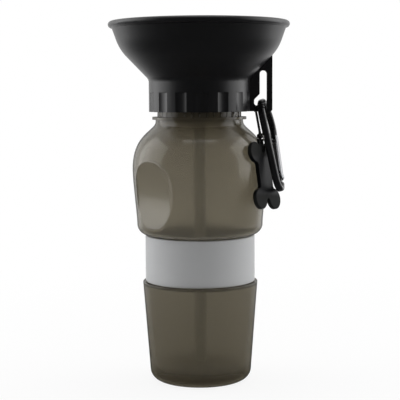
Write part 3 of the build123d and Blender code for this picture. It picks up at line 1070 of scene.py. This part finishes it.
@dataclass
class HangingTag:
    """The bone tag with its ring, and the cord that ties the ring to the hook.

    The cord is 1 mm thick and about 60 mm long. It is a loop round the hook's bar, a
    barrel knot beside the bar, and a bight that goes down through the ring and back. Fine
    thread whips the bight to the top of the ring.

    Attributes:
        hitch: Middle of the bar where the loop sits, in millimetres.
        bar_way: Direction of the bar there.
        bar_side: Direction from the bar to the knot.
        knot: Middle of the knot.
        knot_radius: Radius of the knot's turns, to the cord's middle.
        knot_length: Length of the knot.
        knot_turns: Number of its turns.
        ring_top: Middle of the ring's wire where the bight hangs.
        wire_way: Direction of the ring's wire there.
        bight_radius: Radius of the bight's turn.
        strand_gap: Distance of each strand from the line between knot and ring.
        strand_stops: Places of a strand's control points, as shares of the way from the
            ring up to the knot. Below the last one the strands part for the ring.
        whip_radius: Radius of the turns that whip the bight to the ring's wire.
        whip_drop: How far their middle is below the wire.
        whip_length: Length of that whipping, along the wire.
        whip_turns: Number of its turns.
        whip_thickness: Thickness of its thread, in plies of the cord.
        loop_radius: Radius of the loop round the bar, to the cord's middle.
        cord_radius: Radius of the cord.
        ply_count: Strands twisted to the cord.
        lay: Length of one twist.
        sharp_deg: Edges of the plies that turn by more than this stay sharp.
        nodes: The assembly's nodes and their stock.
    """

    hitch: Point = (37.1583, -9.2740, 167.3490)
    bar_way: Point = (0.027505, -0.719281, -0.694175)
    bar_side: Point = (-0.940283, 0.217081, -0.262189)
    knot: Point = (33.9613, -8.5359, 166.4570)
    knot_radius: float = 0.85
    knot_length: float = 2.2
    knot_turns: float = 2.6
    ring_top: Point = (36.2031, -17.9242, 151.5950)
    wire_way: Point = (0.756628, -0.495213, 0.426941)
    bight_radius: float = 1.0
    strand_gap: float = 0.5
    strand_stops: tuple[float, ...] = (1.0, 0.8, 0.6, 0.4, 0.25, 0.12)
    whip_radius: float = 1.4
    whip_drop: float = 0.7
    whip_length: float = 2.6
    whip_turns: float = 4.0
    whip_thickness: float = 1.3
    loop_radius: float = 3.0576
    cord_radius: float = 0.5
    ply_count: int = 3
    lay: float = 3.2
    sharp_deg: float = 60.0
    nodes: dict[str, Stock] = field(
        default_factory=lambda: {
            "tag_strap": Stock.CORD,
            "tag_jump_ring": Stock.RING,
            "bone_tag": Stock.TAG,
        }
    )

    @property
    def hang(self) -> Vector:
        """The way from the ring up to the knot."""
        return Vector(self.knot) - Vector(self.ring_top)

    @property
    def ply_radius(self) -> float:
        """Radius of one ply, which is also its distance from the cord's middle."""
        return self.cord_radius / 2

    def build(self, wardrobe: Wardrobe) -> None:
        """Dresses the ring and the tag, and ties the cord.

        Args:
            wardrobe: Where the finishes come from.
        """
        wardrobe.dress_nodes(self.nodes)
        cord = self.cord()
        wardrobe.join(cord, Stock.CORD, "carabiner")
        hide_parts("tag_strap")

    def bight(self) -> list[Vector]:
        """Leads down one strand, round the ring's wire and up the other.

        Returns:
            Control points of the route.
        """
        top = Vector(self.ring_top)
        up = self.hang.normalized()
        across = up.cross(Vector(self.wire_way)).normalized()
        strand = [top + self.hang * share for share in self.strand_stops]
        turn = circling(top, across, up, self.bight_radius, -0.5, 6)
        aside = across * self.strand_gap
        down = [point + aside for point in strand]
        back = [point - aside for point in reversed(strand)]
        return down + turn + back

    def loop(self) -> list[Vector]:
        """Leads round the bar, from the knot and back to it.

        Returns:
            Control points of the route.
        """
        side = Vector(self.bar_side)
        other = Vector(self.bar_way).cross(side).normalized()
        return circling(Vector(self.hitch), side, other, self.loop_radius, 1.0, 18)

    def barrel(self) -> list[Vector]:
        """Winds the knot round the two strands where they leave the loop.

        Returns:
            Control points of the route.
        """
        up = self.hang.normalized()
        first = up.orthogonal().normalized()
        fall = -up * self.knot_length
        middle = Vector(self.knot)
        return circling(
            middle, first, up.cross(first), self.knot_radius, self.knot_turns, 40, fall
        )

    def whipping(self) -> list[Vector]:
        """Winds thread closely round the bight and the top of the ring's wire.

        Returns:
            Control points of the route.
        """
        along = Vector(self.wire_way).normalized()
        first = along.orthogonal().normalized()
        middle = Vector(self.ring_top) - Vector(UPWARDS) * self.whip_drop
        run = along * self.whip_length
        return circling(
            middle, first, along.cross(first), self.whip_radius, self.whip_turns, 48, run
        )

    def ply(self, line: Sequence[Vector], phase: float) -> list[Vector]:
        """Twists one ply round the cord's line.

        Args:
            line: Points of the cord's line.
            phase: Where on the cord the ply starts, in radians.

        Returns:
            Points of the ply.
        """
        side = (line[1] - line[0]).orthogonal().normalized()
        run = 0.0
        made = []
        for index, point in enumerate(line):
            ahead = line[min(index + 1, len(line) - 1)] - line[max(index - 1, 0)]
            along = ahead.normalized()
            side = (side - along * side.dot(along)).normalized()
            if index:
                run += (point - line[index - 1]).length
            angle = phase + math.tau * run / self.lay
            out = side * math.cos(angle) + along.cross(side) * math.sin(angle)
            made.append(point + out * self.ply_radius)
        return made

    def cord(self) -> bpy.types.Object:
        """Ties the twisted cord: loop, barrel knot, bight and whipping.

        Returns:
            The cord, as one piece.
        """
        curve = bpy.data.curves.new("cord_plies", "CURVE")
        curve.dimensions = "3D"
        curve.bevel_depth = self.ply_radius
        curve.bevel_resolution = 2
        curve.use_fill_caps = True
        for route in (self.bight(), self.loop(), self.barrel()):
            line = smooth_line(route)
            for index in range(self.ply_count):
                add_spline(curve, "POLY", self.ply(line, math.tau * index / self.ply_count))
        add_spline(curve, "POLY", smooth_line(self.whipping()), self.whip_thickness)
        return finished(meshed(curve), "tag_cord", self.sharp_deg)


# ------------------------------------------------------------------ studio
@dataclass(frozen=True)
class SoftBox:
    """One soft box that faces the bottle's middle.

    Attributes:
        name: The lamp's name.
        place_m: Its middle, in metres.
        size_m: Width and height, in metres.
        power: Power in watts.
        aim_m: The place that it faces.
    """

    name: str
    place_m: Point
    size_m: tuple[float, float]
    power: float
    aim_m: Point = (0.0, 0.0, 0.11)

    def hang(self) -> None:
        """Hangs the lamp in its place."""
        data = bpy.data.lights.new(self.name, "AREA")
        data.shape = "RECTANGLE"
        data.size, data.size_y = self.size_m
        data.energy = self.power
        lamp = bpy.data.objects.new(self.name, data)
        bpy.context.scene.collection.objects.link(lamp)
        aim = Vector(self.aim_m) - Vector(self.place_m)
        turn = aim.to_track_quat("-Z", "Y").to_matrix().to_4x4()
        lamp.matrix_world = Matrix.Translation(self.place_m) @ turn


@dataclass
class Studio:
    """White sweep, soft boxes and the camera of the portrait.

    The room behind and beside the object is white and the room in front is dim, as in a
    bright tent with the camera's end left open.

    Attributes:
        camera_m: Camera's place, a little above the middle of the bottle.
        pitch_deg: How far it looks down.
        roll_deg: Its slight turn about the view.
        lens_mm: Lens for the sensor below.
        sensor_mm: Width of the sensor.
        open_end: Brightness of the tent's open end, which lies in front.
        tent_turn: Share of a direction that points back, where the tent's wall starts to
            brighten and where it is white.
        floor_m: Radius of the floor.
        floor_tent_m: Distance behind the object at which the floor starts to brighten in
            reflections, and at which it is white.
        floor_near: Share of plain white in the floor at the object, which leaves a shadow.
        floor_fade_m: Distance from the object at which that share starts to grow, and at
            which the floor is plain white.
        boxes: The soft boxes.
    """

    camera_m: Point = (0.0001, -0.6824, 0.1763)
    pitch_deg: float = 5.46
    roll_deg: float = -0.33
    lens_mm: float = 100.35
    sensor_mm: float = 36.0
    open_end: float = 0.07
    tent_turn: tuple[float, float] = (-0.25, 0.35)
    floor_m: float = 1.6
    floor_tent_m: tuple[float, float] = (0.05, 0.5)
    floor_near: float = 0.88
    floor_fade_m: tuple[float, float] = (0.05, 0.45)
    boxes: tuple[SoftBox, ...] = (
        SoftBox("left_box", (-0.80, 0.10, 0.22), (0.9, 1.3), 5.6),
        SoftBox("right_box", (0.80, 0.10, 0.22), (0.9, 1.3), 5.6),
        SoftBox("top_box", (0.0, -0.10, 0.95), (0.6, 0.5), 1.6),
    )

    def build(self) -> None:
        """Puts up the whole studio."""
        self.camera()
        self.world()
        self.floor()
        for box in self.boxes:
            box.hang()
        bpy.context.scene.view_settings.view_transform = "Standard"
        LOG.info("studio: camera, tent, floor and lamps")

    def camera(self) -> None:
        """Sets the camera at the photograph's angle."""
        data = bpy.data.cameras.new("portrait_camera")
        data.lens = self.lens_mm
        data.sensor_width = self.sensor_mm
        camera = bpy.data.objects.new("portrait_camera", data)
        bpy.context.scene.collection.objects.link(camera)
        tilt = Matrix.Rotation(math.radians(90 - self.pitch_deg), 4, "X")
        roll = Matrix.Rotation(math.radians(self.roll_deg), 4, "Z")
        camera.matrix_world = Matrix.Translation(self.camera_m) @ tilt @ roll
        bpy.context.scene.camera = camera

    def world(self) -> None:
        """White to the camera and through clear things; a tent for light and reflections."""
        world = bpy.data.worlds.new("tent")
        board = Board(world)
        back = board.part(board.coordinates["Generated"], "Y")
        wall = board.remap(back, *self.tent_turn, self.open_end, 1.0, eased=True)
        tent = board.add("ShaderNodeBackground", {"Color": WHITE}, {"Strength": wall})
        white = board.add("ShaderNodeBackground", {"Color": WHITE, "Strength": 1.0})
        room = board.mix(board.seen(), tent.outputs["Background"], white.outputs["Background"])
        board.add("ShaderNodeOutputWorld", links={"Surface": room})
        bpy.context.scene.world = world

    def floor(self) -> None:
        """Lays a round pale floor that keeps the object's shadow and fades into white."""
        mesh = bmesh.new()
        bmesh.ops.create_circle(mesh, cap_ends=True, segments=96, radius=self.floor_m)
        data = bpy.data.meshes.new("floor")
        mesh.to_mesh(data)
        mesh.free()
        floor = bpy.data.objects.new("floor", data)
        bpy.context.scene.collection.objects.link(floor)
        data.materials.append(self.paper())

    def paper(self) -> bpy.types.Material:
        """Makes white background paper, plain white where it is far from the object.

        Returns:
            The paper's material.
        """
        made = bpy.data.materials.new("white_background_paper")
        board = Board(made)
        seen = board.seen()
        glossy = board.add("ShaderNodeLightPath").outputs["Is Glossy Ray"]
        tent = board.remap(board.part(board.place, "Y"), *self.floor_tent_m, self.open_end, 1.0)
        reach = board.add("ShaderNodeVectorMath", {"operation": "LENGTH"}, {0: board.place})
        fade = board.remap(
            reach.outputs["Value"], *self.floor_fade_m, self.floor_near, 1.0, eased=True
        )
        sheet = board.add(
            "ShaderNodeBsdfPrincipled", {"Base Color": linear("#F6F6F6"), "Roughness": 0.9}
        )
        glow = board.add(
            "ShaderNodeEmission",
            {"Color": WHITE},
            {"Strength": board.calculate("MAXIMUM", seen, tent)},
        )
        plain = board.calculate("MAXIMUM", board.calculate("MULTIPLY", seen, fade), glossy)
        paper = board.mix(plain, sheet.outputs["BSDF"], glow.outputs["Emission"])
        board.add("ShaderNodeOutputMaterial", links={"Surface": paper})
        return made


def main() -> None:
    """Builds the studio and every sub-assembly."""
    logging.basicConfig(level=logging.INFO, format="%(name)s: %(message)s")
    wardrobe = Wardrobe()
    Studio().build()
    for assembly in (SqueezeBottle(), DrinkingBowl(), Hook(), HangingTag()):
        assembly.build(wardrobe)


if __name__ == "__main__":
    main()
